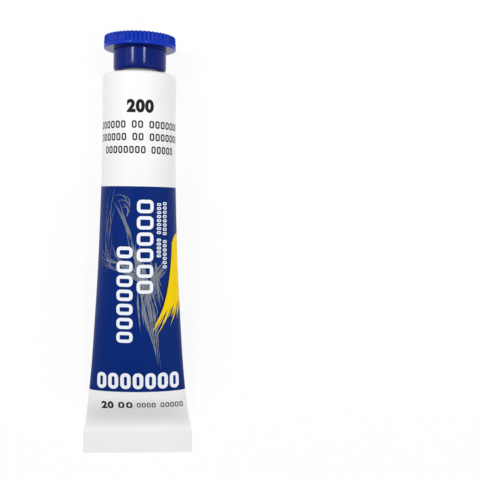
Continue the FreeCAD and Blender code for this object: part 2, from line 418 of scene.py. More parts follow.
@dataclass
class SleeveForm:
    """The sleeve's outer skin, addressed by millimetres round it and along the row's Y.

    A round tube is pressed flat at its tail and keeps the length of its outline. Places round it
    are counted from the line that looks up, positive to the right, and all sizes are millimetres.

    Attributes:
        radius: Radius where the tube is round.
        tail_y: Y of the cut tail.
        rim_y: Y of the rim plane at the shoulder.
        wall: Thickness of the laminate.
        curl: Radius of the rim's curl.
        round_length: Length that stays round.
        seal_length: Length of the sealed strip.
        rise_length: Length over which the seal's flatness fades into the full form.
        recess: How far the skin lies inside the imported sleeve, which leaves room for ink.
        dent_depth: Deepest hollow that handling leaves in the skin.
        dent_length: Length of a hollow along the tube.
        dent_fade: Lengths over which the hollows fade out, towards the round end and the seal.
        lap_width: Width of the back lap.
        lap_step: How far the lap is pressed in.
        rows_per_mm: Rows of the grid to a millimetre.
        columns: Columns of the grid round the skin.
        seal_y: Y where the sealed strip ends.
        round_y: Y where the round part starts.
        outline: Length once round the skin.
        rows_y: Y of each row of the grid.
        grid: Points of the skin, row by row.
        normals: Outward unit normal at each of them.
    """

    radius: float
    tail_y: float
    rim_y: float
    wall: float = 0.35
    curl: float = 1.2
    round_length: float = 5.0
    seal_length: float = 6.0
    rise_length: float = 11.0
    recess: float = 0.03
    dent_depth: float = 0.22
    dent_length: float = 21.0
    dent_fade: Point = (18.0, 10.0)
    lap_width: float = 1.6
    lap_step: float = 0.07
    rows_per_mm: int = 4
    columns: int = 384
    seal_y: float = field(init=False)
    round_y: float = field(init=False)
    outline: float = field(init=False)
    rows_y: np.ndarray = field(init=False, repr=False)
    grid: np.ndarray = field(init=False, repr=False)
    normals: np.ndarray = field(init=False, repr=False)

    def __post_init__(self) -> None:
        """Works out the stations, and the grid that everything laid on the skin is read from."""
        self.seal_y = self.tail_y + self.seal_length
        self.round_y = self.rim_y - self.round_length
        self.outline = 2 * math.pi * (self.radius - self.recess)
        rows = round((self.rim_y - self.curl - self.tail_y) * self.rows_per_mm)
        self.rows_y = np.linspace(self.tail_y, self.rim_y - self.curl, rows)
        self.grid = np.array([self.ring(y, self.recess, self.columns) for y in self.rows_y])
        self.normals = self.find_normals()
        hollow = np.array([[self.hollow(i, y) for i in range(self.columns)]
                           for y in self.rows_y])
        self.grid -= self.normals * hollow[:, :, None]
        self.normals = self.find_normals()

    @classmethod
    def of_node(cls, node: str) -> "SleeveForm":
        """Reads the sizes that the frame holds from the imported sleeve's box.

        Args:
            node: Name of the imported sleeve.

        Returns:
            The form that fits it.
        """
        low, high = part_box(node)
        return cls(radius=high[2] / MM / 2, tail_y=low[1] / MM, rim_y=high[1] / MM)

    def half_depth(self, y: float, raw: bool = False) -> float:
        """Half the sleeve's thickness at a station.

        Args:
            y: Station.
            raw: True for the plain taper, without the soft rise out of the seal.

        Returns:
            Half the thickness.
        """
        taper = self.round_y - self.seal_y
        along = min(1.0, max(0.0, (y - self.seal_y) / taper))
        depth = self.wall + (self.radius - self.wall) * math.sin(math.acos(1 - along))
        if raw:
            return depth
        t = min(1.0, max(0.0, (y - self.seal_y) / self.rise_length))
        return self.wall + (depth - self.wall) * t * t * (3 - 2 * t)

    def half_width(self, depth: float) -> float:
        """Half the sleeve's width where it is pressed flat, by Ramanujan's ellipse outline.

        Args:
            depth: Half the sleeve's thickness there.

        Returns:
            Half the width that keeps the outline's length.
        """
        outline = 2 * math.pi * self.radius
        low, high = self.radius, outline / 4
        for _ in range(40):
            middle = (low + high) / 2
            h = ((middle - depth) / (middle + depth)) ** 2
            length = math.pi * (middle + depth) * (1 + 3 * h / (10 + math.sqrt(4 - 3 * h)))
            low, high = (low, middle) if length > outline else (middle, high)
        return max(high, depth)

    def ring(self, y: float, inset: float, count: int) -> np.ndarray:
        """One closed outline of the sleeve, evenly spaced round it from the line underneath.

        Args:
            y: Station.
            inset: How far the outline lies inside the sleeve's own.
            count: Number of points.

        Returns:
            Points as an array of count rows.
        """
        depth = self.half_depth(y)
        wide = self.half_width(self.half_depth(y, raw=True)) - inset
        deep = depth - inset
        t = min(1.0, max(0.0, (y - self.seal_y) / self.rise_length))
        power = 2 / (2 + 6 * (1 - t) ** 2)
        turn = np.linspace(-math.pi, math.pi, 2881)
        x = wide * np.sign(np.sin(turn)) * np.abs(np.sin(turn)) ** power
        z = depth + deep * np.sign(np.cos(turn)) * np.abs(np.cos(turn)) ** power
        run = np.concatenate([[0], np.cumsum(np.hypot(np.diff(x), np.diff(z)))])
        even = np.arange(count) / count * run[-1]
        return np.stack([np.interp(even, run, x), np.full(count, y), np.interp(even, run, z)], 1)

    def hollow(self, column: int, y: float) -> float:
        """How deep the skin is pressed in at a point: soft dents, and the step of the back lap.

        Args:
            column: Column of the grid, counted from the line underneath.
            y: Station.

        Returns:
            Depth in millimetres.
        """
        turn = 2 * math.pi * column / self.columns
        wave = noise.noise(Vector((math.sin(turn) * 0.9, y / self.dent_length,
                                   math.cos(turn) * 0.9 + 3)))
        free = min(1.0, max(0.0, (self.round_y - y) / self.dent_fade[0])) * min(
            1.0, max(0.0, (y - self.seal_y) / self.dent_fade[1]))
        dent = self.dent_depth * (0.5 + 0.5 * wave) * free
        arc = abs((column / self.columns + 0.5) % 1 - 0.5) * self.outline
        lap = self.lap_step if arc < self.lap_width / 2 and y > self.seal_y else 0.0
        return dent + lap

    def find_normals(self) -> np.ndarray:
        """Works out the skin's normals.

        Returns:
            Outward unit normal at each point of the grid.
        """
        round_it = np.roll(self.grid, -1, 1) - np.roll(self.grid, 1, 1)
        along = np.gradient(self.grid, axis=0)
        across = np.cross(round_it, along)
        return across / np.maximum(np.linalg.norm(across, axis=2, keepdims=True), 1e-12)

    def place(self, arc: np.ndarray, y: np.ndarray, lift: np.ndarray | float) -> np.ndarray:
        """Puts flat points onto the skin.

        Args:
            arc: Millimetres round the sleeve from the line that looks up.
            y: Millimetres along the row's Y.
            lift: Height above the skin.

        Returns:
            Points in millimetres of the row frame.
        """
        column = (np.asarray(arc) / self.outline + 0.5) % 1 * self.columns
        row = np.clip((np.asarray(y) - self.rows_y[0]) / (self.rows_y[1] - self.rows_y[0]),
                      0, len(self.rows_y) - 1.001)
        j, i = np.floor(column).astype(int) % self.columns, np.floor(row).astype(int)
        u, v = (column % 1)[:, None], (row % 1)[:, None]
        k = (j + 1) % self.columns

        def blended(values: np.ndarray) -> np.ndarray:
            """Bilinear reading of a grid."""
            return ((values[i, j] * (1 - u) + values[i, k] * u) * (1 - v)
                    + (values[i + 1, j] * (1 - u) + values[i + 1, k] * u) * v)

        return blended(self.grid) + blended(self.normals) * np.reshape(lift, (-1, 1))

    def turned_ring(self, radius: float, station: float, count: int) -> np.ndarray:
        """A round ring about the tube's axis.

        Args:
            radius: Radius of the ring.
            station: Distance from the rim plane towards the cap.
            count: Number of points.

        Returns:
            Points that match those of ring().
        """
        turn = np.arange(count) / count * 2 * math.pi - math.pi
        return np.stack([radius * np.sin(turn), np.full(count, self.rim_y + station),
                         self.radius + radius * np.cos(turn)], 1)


def closed_shell(name: str, rings: Sequence[np.ndarray]) -> bpy.types.Object:
    """Builds a closed mesh through rings of equally many points, with a face over each end.

    Args:
        name: Name of the piece.
        rings: Rings in millimetres, in order.

    Returns:
        The piece, smooth but for its sharp edges.
    """
    count = len(rings[0])
    points = np.concatenate(rings) * MM
    faces = []
    for r in range(len(rings) - 1):
        for c in range(count):
            d = (c + 1) % count
            faces.append((r * count + c, (r + 1) * count + c, (r + 1) * count + d, r * count + d))
    faces.append(tuple(range(count)))
    faces.append(tuple(reversed(range((len(rings) - 1) * count, len(rings) * count))))
    mesh = bpy.data.meshes.new(name)
    mesh.from_pydata(points.tolist(), [], faces)
    piece = bpy.data.objects.new(name, mesh)
    bpy.context.scene.collection.objects.link(piece)
    work = bmesh.new()
    work.from_mesh(mesh)
    bmesh.ops.recalc_face_normals(work, faces=work.faces)
    soften(work, SHARP_MOULDED)
    work.to_mesh(mesh)
    work.free()
    return piece


def soften(work: bmesh.types.BMesh, sharp_angle: float) -> None:
    """Shades a mesh smooth, and keeps its sharp edges.

    Args:
        work: The mesh.
        sharp_angle: Turn across an edge, in radians, from which it stays sharp.
    """
    for face in work.faces:
        face.smooth = True
    for edge in work.edges:
        edge.smooth = len(edge.link_faces) == 2 and edge.calc_face_angle(0.0) < sharp_angle


# --------------------------------------------------------------------------------------
# Sleeve
# --------------------------------------------------------------------------------------


@dataclass
class Sleeve:
    """The printed sleeve and the paint in it.

    Attributes:
        form: Form of the skin.
        band_bottom: Y where the blue print starts.
        band_top: Y where it ends.
        print_gap: Width left bare along the back lap.
        columns: Faces round the skin.
        row_step: Greatest length of a face.
        cavity_start: Distance from the sealed strip at which the cavity opens.
        inner_rows: Rings of the inner wall and of the paint.
        paint_columns: Faces round the paint.
        paint_slack: Gap between the paint and the walls round it.
        paint_start: How far the paint starts from the cavity's end.
        shoulder_wall: Thickness of the shoulder's skirt.
        shoulder_drop: How far under the rim plane the shoulder's inside starts at the skirt.
        nozzle_radius: Radius of the nozzle's bore.
        nozzle_drop: How far under the rim plane the bore starts.
    """

    form: SleeveForm
    band_bottom: float = -36.9
    band_top: float = 17.15
    print_gap: float = 1.6
    columns: int = 192
    row_step: float = 0.55
    cavity_start: float = 3.0
    inner_rows: int = 60
    paint_columns: int = 96
    paint_slack: float = 0.09
    paint_start: float = 0.4
    shoulder_wall: float = 1.03
    shoulder_drop: float = 1.0
    nozzle_radius: float = 2.5
    nozzle_drop: float = 0.4

    def build(self) -> bpy.types.Object:
        """Builds the skin, its curled rim and its inner wall as one closed mesh.

        Returns:
            The sleeve.
        """
        form = self.form
        stations = [form.tail_y, form.tail_y + 0.12, form.seal_y, self.band_bottom,
                    self.band_top, form.round_y, form.rim_y - form.curl]
        rows: list[float] = []
        for start, end in zip(stations, stations[1:]):
            steps = max(1, math.ceil((end - start) / self.row_step))
            rows += [start + (end - start) * i / steps for i in range(steps)]
        rows.append(stations[-1])
        arc = np.arange(self.columns) / self.columns * form.outline - form.outline / 2
        rings = [form.place(arc, np.full(self.columns, y), 0.0) for y in rows]
        centre = form.radius - form.curl
        for degrees in range(15, 91, 15):
            a = math.radians(degrees)
            rings.append(form.turned_ring(centre + (form.curl - form.recess) * math.cos(a),
                                          (form.curl - form.recess) * math.sin(a) - form.curl,
                                          self.columns))
        for degrees in range(90, -1, -15):
            a = math.radians(degrees)
            inner = form.curl - form.wall
            rings.append(form.turned_ring(centre + inner * math.cos(a),
                                          inner * math.sin(a) - form.curl, self.columns))
        rings += [form.ring(y, form.wall, self.columns) for y in
                  np.linspace(form.round_y, form.seal_y + self.cavity_start, self.inner_rows)]
        piece = closed_shell("sleeve_printed", rings)
        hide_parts("tube_sleeve")
        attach(piece, "tube")
        self.dress(piece, len(rows))
        return piece

    def dress(self, piece: bpy.types.Object, skin_rows: int) -> None:
        """Parts the skin into bare laminate, crimped seal and blue print.

        Args:
            piece: The sleeve.
            skin_rows: Number of rings that belong to the outer skin.
        """
        for finish in (Palette.LAMINATE, Palette.SEAL, Palette.BLUE_PRINT):
            piece.data.materials.append(finish.material())
        form = self.form
        lowest_front = form.outline / 2 - self.print_gap / 2
        for index, face in enumerate(piece.data.polygons):
            row, column = divmod(index, self.columns)
            if row >= skin_rows - 1:
                continue
            y = face.center[1] / MM
            arc = (column + 0.5) / self.columns * form.outline - form.outline / 2
            if y < form.seal_y:
                face.material_index = 1
            elif self.band_bottom < y < self.band_top and abs(arc) < lowest_front:
                face.material_index = 2

    def fill(self) -> bpy.types.Object:
        """Builds the paint that fills the sleeve, the shoulder and the nozzle.

        Returns:
            The paint.
        """
        form, count, slack = self.form, self.paint_columns, self.paint_slack
        paint_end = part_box("paint_fill")[1][1] / MM - form.rim_y
        skirt_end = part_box("shoulder_neck")[0][1] / MM - form.rim_y - slack
        wide = form.radius - form.wall - slack
        skirt = wide - self.shoulder_wall
        nozzle = self.nozzle_radius - slack
        start = form.seal_y + self.cavity_start + self.paint_start
        rings = [form.ring(y, form.wall + slack, count)
                 for y in np.linspace(start, form.round_y, self.inner_rows)]
        rings += [form.turned_ring(radius, station, count) for radius, station in (
            (wide, skirt_end), (skirt, skirt_end), (skirt, -self.shoulder_drop - slack),
            (nozzle, -self.nozzle_drop - slack), (nozzle, paint_end))]
        piece = closed_shell("paint_in_tube", rings)
        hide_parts("paint_fill")
        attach(piece, "tube")
        Palette.PAINT.dress(piece)
        return piece


# --------------------------------------------------------------------------------------
# Print
# --------------------------------------------------------------------------------------


@dataclass
class Stencil:
    """Flat shapes of one ink, in millimetres round the sleeve and along it.

    Attributes:
        form: Skin that the ink is laid on.
        sheet: The flat shapes.
        step: Greatest width of a face round the sleeve.
        row: Greatest length of a face along it.
        snap: Distance from a cut at which a point counts as on it.
        turn: How far the whole print has turned to the right about the tube.
    """

    form: SleeveForm
    sheet: bmesh.types.BMesh = field(default_factory=bmesh.new)
    step: float = 0.5
    row: float = 2.0
    snap: float = 0.003
    turn: float = 0.45

    def block(self, centre: Point, size: Point, corner: float) -> list[Point]:
        """Outline of a rectangle with round corners.

        Args:
            centre: Middle of the block.
            size: Its width round the sleeve and its length along it.
            corner: Radius of its corners.

        Returns:
            The outline, anticlockwise.
        """
        points = []
        for quarter, (sx, sy) in enumerate(((1, 1), (-1, 1), (-1, -1), (1, -1))):
            for step in range(5):
                a = math.radians(90 * quarter + 22.5 * step)
                points.append((centre[0] + sx * (size[0] / 2 - corner) + corner * math.cos(a),
                               centre[1] + sy * (size[1] / 2 - corner) + corner * math.sin(a)))
        return points

    def frame(self, centre: Point, size: Point, stroke: float) -> None:
        """Adds an empty block: a frame of even stroke with round corners.

        Args:
            centre: Middle of the frame.
            size: Its outer width and length.
            stroke: Width of its line.
        """
        corner = stroke * 1.3
        outer = self.block(centre, size, corner)
        inner = self.block(centre, (size[0] - 2 * stroke, size[1] - 2 * stroke),
                           corner - stroke)
        outside = [self.sheet.verts.new((s, y, 0.0)) for s, y in outer]
        inside = [self.sheet.verts.new((s, y, 0.0)) for s, y in inner]
        for i in range(len(outside)):
            j = (i + 1) % len(outside)
            self.sheet.faces.new((outside[i], outside[j], inside[j], inside[i]))

    def ribbon(self, points: Sequence[Point], widths: Sequence[float]) -> None:
        """Adds a strip that follows points, with its own width at each.

        Args:
            points: Middle line.
            widths: Width at each point.
        """
        edges = []
        for i, (s, y) in enumerate(points):
            a, b = points[max(0, i - 1)], points[min(len(points) - 1, i + 1)]
            ds, dy = b[0] - a[0], b[1] - a[1]
            size = math.hypot(ds, dy) or 1.0
            half = widths[i] / 2
            edges.append((self.sheet.verts.new((s - dy / size * half, y + ds / size * half, 0)),
                          self.sheet.verts.new((s + dy / size * half, y - ds / size * half, 0))))
        for (a, b), (c, d) in zip(edges, edges[1:]):
            self.sheet.faces.new((a, b, d, c))

    def numeral(self, text: str, centre: Point, height: float, weight: float) -> None:
        """Adds a plain number.

        Args:
            text: Its digits.
            centre: Middle of the number.
            height: Height of a digit along the sleeve.
            weight: How far the strokes are swollen, as a share of the type size.
        """
        curve = bpy.data.curves.new("numeral", "FONT")
        curve.body = text
        curve.offset = weight
        curve.resolution_u = 6
        curve.space_character = 1.12
        holder = bpy.data.objects.new("numeral", curve)
        bpy.context.scene.collection.objects.link(holder)
        bpy.context.view_layer.update()
        mesh = bpy.data.meshes.new_from_object(holder)
        bpy.data.objects.remove(holder)
        low = [min(v.co[k] for v in mesh.vertices) for k in (0, 1)]
        high = [max(v.co[k] for v in mesh.vertices) for k in (0, 1)]
        scale = height / (high[1] - low[1])
        for vertex in mesh.vertices:
            vertex.co = ((vertex.co[0] - (low[0] + high[0]) / 2) * scale + centre[0],
                         (vertex.co[1] - (low[1] + high[1]) / 2) * scale + centre[1], 0.0)
        self.sheet.from_mesh(mesh)
        bpy.data.meshes.remove(mesh)
        bmesh.ops.remove_doubles(self.sheet, verts=self.sheet.verts, dist=0.004)

    def lay(self, name: str, finish: Finish, base: float, top: float,
            layer: float = 0.0) -> bpy.types.Object:
        """Thickens the shapes to a film of ink and lays it on the skin.

        Args:
            name: Name of the piece.
            finish: The ink.
            base: Height of the film's underside above the skin.
            top: Height of its face.
            layer: Extra height per shape, so that shapes that cross lie on each other.

        Returns:
            The piece.
        """
        work = self.sheet
        for axis, step in ((0, self.step), (1, self.row)):
            low = min(v.co[axis] for v in work.verts)
            high = max(v.co[axis] for v in work.verts)
            across = Vector((axis == 0, axis == 1, 0))
            for k in range(math.ceil(low / step), math.ceil(high / step)):
                bmesh.ops.bisect_plane(work, geom=[*work.verts, *work.edges, *work.faces],
                                       dist=self.snap, plane_co=across * k * step,
                                       plane_no=across)
        bmesh.ops.recalc_face_normals(work, faces=work.faces)
        for face in work.faces:
            if face.normal[2] < 0:
                face.normal_flip()
        above = self.islands(layer)
        faces, rim = list(work.faces), [e for e in work.edges if e.is_boundary]
        twin = {v: work.verts.new(v.co) for v in list(work.verts)}
        for face in faces:
            work.faces.new([twin[v] for v in reversed(face.verts)])
        for edge in rim:
            loop = edge.link_loops[0]
            a, b = loop.vert, loop.link_loop_next.vert
            work.faces.new((b, a, twin[a], twin[b]))
        upper = list(twin)
        for verts, lift in ((upper, top), ([twin[v] for v in upper], base)):
            spots = np.array([v.co[:2] for v in verts]) + (self.turn, 0.0)
            lifts = np.array([above[v] for v in upper]) + lift
            for vert, spot in zip(verts, self.form.place(spots[:, 0], spots[:, 1], lifts)):
                vert.co = Vector(spot) * MM
        soften(work, SHARP_INK)
        mesh = bpy.data.meshes.new(name)
        work.to_mesh(mesh)
        work.free()
        piece = bpy.data.objects.new(name, mesh)
        bpy.context.scene.collection.objects.link(piece)
        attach(piece, "tube")
        finish.dress(piece)
        return piece

    def islands(self, layer: float) -> dict[bmesh.types.BMVert, float]:
        """Gives each separate shape its own extra height, in the order in which it was drawn.

        Args:
            layer: Extra height from one shape to the next.

        Returns:
            Extra height of each vertex.
        """
        heights: dict[bmesh.types.BMVert, float] = {}
        index = 0
        for start in self.sheet.verts:
            if start in heights:
                continue
            stack = [start]
            heights[start] = index * layer
            while stack:
                for edge in stack.pop().link_edges:
                    for vert in edge.verts:
                        if vert not in heights:
                            heights[vert] = index * layer
                            stack.append(vert)
            index += 1
        return heights


@dataclass
class Wisp:
    """A thin brush trail that bends and fades.

    Attributes:
        start: Where it starts.
        heading: Direction in degrees, 0 to the right and 90 towards the cap.
        length: Its length.
        bend: Degrees that it turns over its length.
        width: Its greatest width.
    """

    start: Point
    heading: float
    length: float
    bend: float
    width: float

    def draw(self, stencil: Stencil, steps: int = 14) -> None:
        """Draws the trail as a ribbon that swells quickly and runs out slowly.

        Args:
            stencil: Ink that it goes on.
            steps: Number of faces along it.
        """
        points, widths = [self.start], [self.width * 0.25]
        for i in range(1, steps + 1):
            t = i / steps
            a = math.radians(self.heading + self.bend * t)
            s, y = points[-1]
            points.append((s + math.cos(a) * self.length / steps,
                           y + math.sin(a) * self.length / steps))
            widths.append(max(0.02, self.width * min(1.0, 4 * t) * (1 - t) ** 0.7))
        stencil.ribbon(points, widths)


@dataclass
class Bundle:
    """Trails that one brush leaves together.

    Attributes:
        lead: The trail that the others follow.
        count: Number of trails.
        spread: Half the width and half the length of the patch that they start in.
        fan: Degrees by which their headings differ to either side.
        aim: The point that they all run to, if they meet.
    """

    lead: Wisp
    count: int
    spread: Point
    fan: float
    aim: Point | None = None

    def draw(self, stencil: Stencil, rng: random.Random) -> None:
        """Draws every trail, each a little different.

        Args:
            stencil: Ink that they go on.
            rng: Source of the differences.
        """
        lead = self.lead
        for _ in range(self.count):
            start = (lead.start[0] + rng.uniform(-1, 1) * self.spread[0],
                     lead.start[1] + rng.uniform(-1, 1) * self.spread[1])
            heading = lead.heading + rng.uniform(-1, 1) * self.fan
            length = lead.length * rng.uniform(0.55, 1.05)
            if self.aim:
                run = (self.aim[0] - start[0], self.aim[1] - start[1])
                heading = math.degrees(math.atan2(run[1], run[0])) + rng.uniform(-1.5, 1.5)
                length = math.hypot(*run) * rng.uniform(0.45, 1.0)
            Wisp(start, heading, length, lead.bend * rng.uniform(0.6, 1.3),
                 lead.width * rng.uniform(0.5, 1.25)).draw(stencil)


@dataclass
class Artwork:
    """Everything printed on the sleeve, all of it plain and generic.

    Attributes:
        form: Skin that the inks are laid on.
        stroke_width: Width of the broad brush stroke.
    """

    form: SleeveForm
    stroke_width: float = 6.6

    def build(self) -> list[bpy.types.Object]:
        """Lays every ink in the order of printing.

        Returns:
            The films of ink.
        """
        return [self.trails(), self.stroke_shade(), self.stroke(), self.number(),
                self.black_lines(), self.white_columns(), self.white_row(), self.content()]

    def line_of_blocks(self, stencil: Stencil, words: Sequence[int], start: float, end: float,
                       y: float, height: float, stroke: float) -> None:
        """Sets a line of small empty blocks, grouped like words.

        Args:
            stencil: Ink that it goes on.
            words: Number of blocks in each group.
            start: Where the line starts round the sleeve.
            end: Where it ends.
            y: Its middle along the sleeve.
            height: Height of a block.
            stroke: Line width of a block.
        """
        fill, word_gap = 0.78, 0.8
        pitch = (end - start) / (sum(words) + word_gap * (len(words) - 1) - (1 - fill))
        s = start
        for word in words:
            for _ in range(word):
                stencil.frame((s + pitch * fill / 2, y), (pitch * fill, height), stroke)
                s += pitch
            s += word_gap * pitch

    def number(self) -> bpy.types.Object:
        """The plain number near the cap.

        Returns:
            The film of ink.
        """
        stencil = Stencil(self.form)
        stencil.numeral("200", (0.3, 37.15), 3.35, weight=0.055)
        return stencil.lay("print_number", Palette.BLACK_INK, -0.01, 0.012)

    def black_lines(self) -> bpy.types.Object:
        """Three lines of blocks under the number.

        Returns:
            The film of ink.
        """
        stencil = Stencil(self.form)
        for words, start, end, y in (((6, 2, 7), -12.6, 13.4, 32.6),
                                     ((6, 2, 7), -12.3, 13.4, 29.5),
                                     ((8, 5), -9.9, 10.4, 26.3)):
            self.line_of_blocks(stencil, words, start, end, y, 1.85, 0.36)
        return stencil.lay("print_lines", Palette.BLACK_INK, -0.01, 0.012)

    def white_columns(self) -> bpy.types.Object:
        """Two columns of large empty blocks and two of small ones, read along the tube.

        Returns:
            The film of ink.
        """
        stencil = Stencil(self.form)
        gap, word_gap, fill, small = 0.75, 0.9, 0.72, 1.25
        for count, s, low, high, width, stroke in ((7, -3.5, -23.2, 1.9, 4.3, 0.88),
                                                   (6, 1.8, -10.2, 13.8, 4.3, 0.88)):
            pitch = (high - low + gap) / count
            for i in range(count):
                stencil.frame((s, low + pitch * (i + 0.5) - 0.37), (width, pitch - gap), stroke)
        for words, s, low, high in (((5, 8), 5.5, -0.8, 13.3), ((7, 8), 7.3, -3.7, 13.6)):
            pitch = (high - low) / (sum(words) + word_gap)
            y = low
            for word in words:
                for _ in range(word):
                    stencil.frame((s, y + pitch * fill / 2), (small, pitch * fill), 0.26)
                    y += pitch
                y += word_gap * pitch
        return stencil.lay("print_columns", Palette.WHITE_INK, 0.004, 0.026)

    def white_row(self) -> bpy.types.Object:
        """A row of heavy empty blocks across the foot of the blue print.

        Returns:
            The film of ink.
        """
        stencil = Stencil(self.form)
        count, row, block = 7, 22.6, (2.75, 4.5)
        for i in range(count):
            s = (row - block[0]) * (i / (count - 1) - 0.5)
            stencil.frame((s, -33.8), block, 0.98)
        return stencil.lay("print_row", Palette.WHITE_INK, -0.01, 0.014)

    def content(self) -> bpy.types.Object:
        """The content in plain figures, and a line of blocks after it.

        Returns:
            The film of ink.
        """
        stencil = Stencil(self.form)
        stencil.numeral("20", (-8.3, -41.0), 2.45, weight=0.05)
        self.line_of_blocks(stencil, (2,), -5.4, -1.6, -41.0, 2.1, 0.52)
        self.line_of_blocks(stencil, (4, 5), -0.4, 12.2, -41.0, 1.6, 0.28)
        return stencil.lay("print_content", Palette.BLACK_INK, -0.01, 0.012)

    def stroke_path(self, t: float, across: float) -> Point:
        """A place on the broad brush stroke.

        Args:
            t: How far along the stroke, from 0 to 1.
            across: How far to the right of its middle, in millimetres.

        Returns:
            Place on the sleeve.
        """
        a, b, c = (12.9, 5.2), (13.9, -8.0), (6.4, -21.0)
        s, y = [(1 - t) ** 2 * a[k] + 2 * t * (1 - t) * b[k] + t * t * c[k] for k in (0, 1)]
        ds, dy = [(1 - t) * (b[k] - a[k]) + t * (c[k] - b[k]) for k in (0, 1)]
        size = math.hypot(ds, dy)
        return s - dy / size * across, y + ds / size * across

    def stroke(self) -> bpy.types.Object:
        """A broad yellow stroke whose bristles run dry one after the other.

        Returns:
            The film of ink.
        """
        rng = random.Random(11)
        stencil = Stencil(self.form)
        bristles, rows, width = 26, 64, self.stroke_width
        verts: dict[tuple[int, int], bmesh.types.BMVert] = {}

        def vert(i: int, j: int) -> bmesh.types.BMVert:
            """Finds or adds a vertex of the stroke's grid.

            Args:
                i: Number of the bristle's edge, from the left.
                j: Number of the row, from the stroke's start.

            Returns:
                The vertex.
            """
            if (i, j) not in verts:
                t = j / rows
                fat = width * (0.86 + 0.14 * math.sin(math.pi * min(1, t * 1.3)))
                s, y = self.stroke_path(t, (i / bristles - 0.5) * fat)
                verts[i, j] = stencil.sheet.verts.new((s, y, 0.0))
            return verts[i, j]

        for i in range(bristles):
            v = 2 * (i + 0.5) / bristles - 1
            first = round(rows * 0.11 * (1 - math.sqrt(1 - v * v * 0.96)))
            dry = 0.80 - 0.16 * v + rng.uniform(-0.13, 0.10)
            last = round(rows * min(0.98, dry))
            for j in range(first, last):
                stencil.sheet.faces.new((vert(i, j), vert(i, j + 1), vert(i + 1, j + 1),
                                         vert(i + 1, j)))
            s, y = self.stroke_path((last + rng.uniform(1.5, 5)) / rows,
                                    ((i + 0.5) / bristles - 0.5) * width * 0.9)
            tip = stencil.sheet.verts.new((s, y, 0.0))
            stencil.sheet.faces.new((vert(i, last), tip, vert(i + 1, last)))
        return stencil.lay("print_yellow_stroke", Palette.YELLOW_INK, -0.004, 0.018)

    def stroke_shade(self) -> bpy.types.Object:
        """A thin dark line along the inner edge of the yellow stroke.

        Returns:
            The film of ink.
        """
        stencil = Stencil(self.form)
        along = [step / 30 for step in range(31)]
        stencil.ribbon([self.stroke_path(t, -self.stroke_width / 2) for t in along],
                       [0.1 + 0.5 * math.sin(math.pi * t) for t in along])
        return stencil.lay("print_stroke_shade", Palette.SHADE_INK, -0.01, 0.008)

    def trails(self) -> bpy.types.Object:
        """Grey dry-brush trails that meet in one patch and run out to a point.

        Returns:
            The film of ink.
        """
        rng = random.Random(5)
        stencil = Stencil(self.form)
        for bundle in (
            Bundle(Wisp((2.4, -6.0), -84, 9, 8, 0.62), 46, (2.5, 4.2), 9),
            Bundle(Wisp((2.9, -13.0), -78, 17, 0, 0.42), 16, (2.1, 1.6), 0, aim=(5.6, -30.6)),
            Bundle(Wisp((0.6, -13.0), -84, 9, 4, 0.3), 6, (1.1, 1.2), 4),
            Bundle(Wisp((1.4, -6.5), 142, 12, 24, 0.42), 14, (1.2, 1.2), 12),
            Bundle(Wisp((1.0, -4.5), 120, 10, -28, 0.46), 14, (0.9, 1.0), 8),
            Bundle(Wisp((-2.0, 4.0), 106, 11, 16, 0.34), 9, (0.5, 0.8), 7),
            Bundle(Wisp((-2.6, 11.0), 60, 5, 120, 0.26), 7, (1.2, 1.6), 30),
            Bundle(Wisp((3.8, -6.5), 40, 6, 18, 0.46), 11, (1.0, 1.0), 12),
            Bundle(Wisp((-5.0, -3.0), 165, 8, -40, 0.2), 11, (1.8, 1.8), 30),
            Bundle(Wisp((-9.2, -3.5), 84, 14, 16, 0.15), 5, (1.6, 2.0), 9),
            Bundle(Wisp((-8.4, 5.0), 98, 10, -22, 0.2), 5, (1.2, 2.0), 10),
        ):
            bundle.draw(stencil, rng)
        return stencil.lay("print_grey_trails", Palette.GREY_INK, -0.014, 0.0, layer=0.00006)


# --------------------------------------------------------------------------------------
# Closure
# --------------------------------------------------------------------------------------


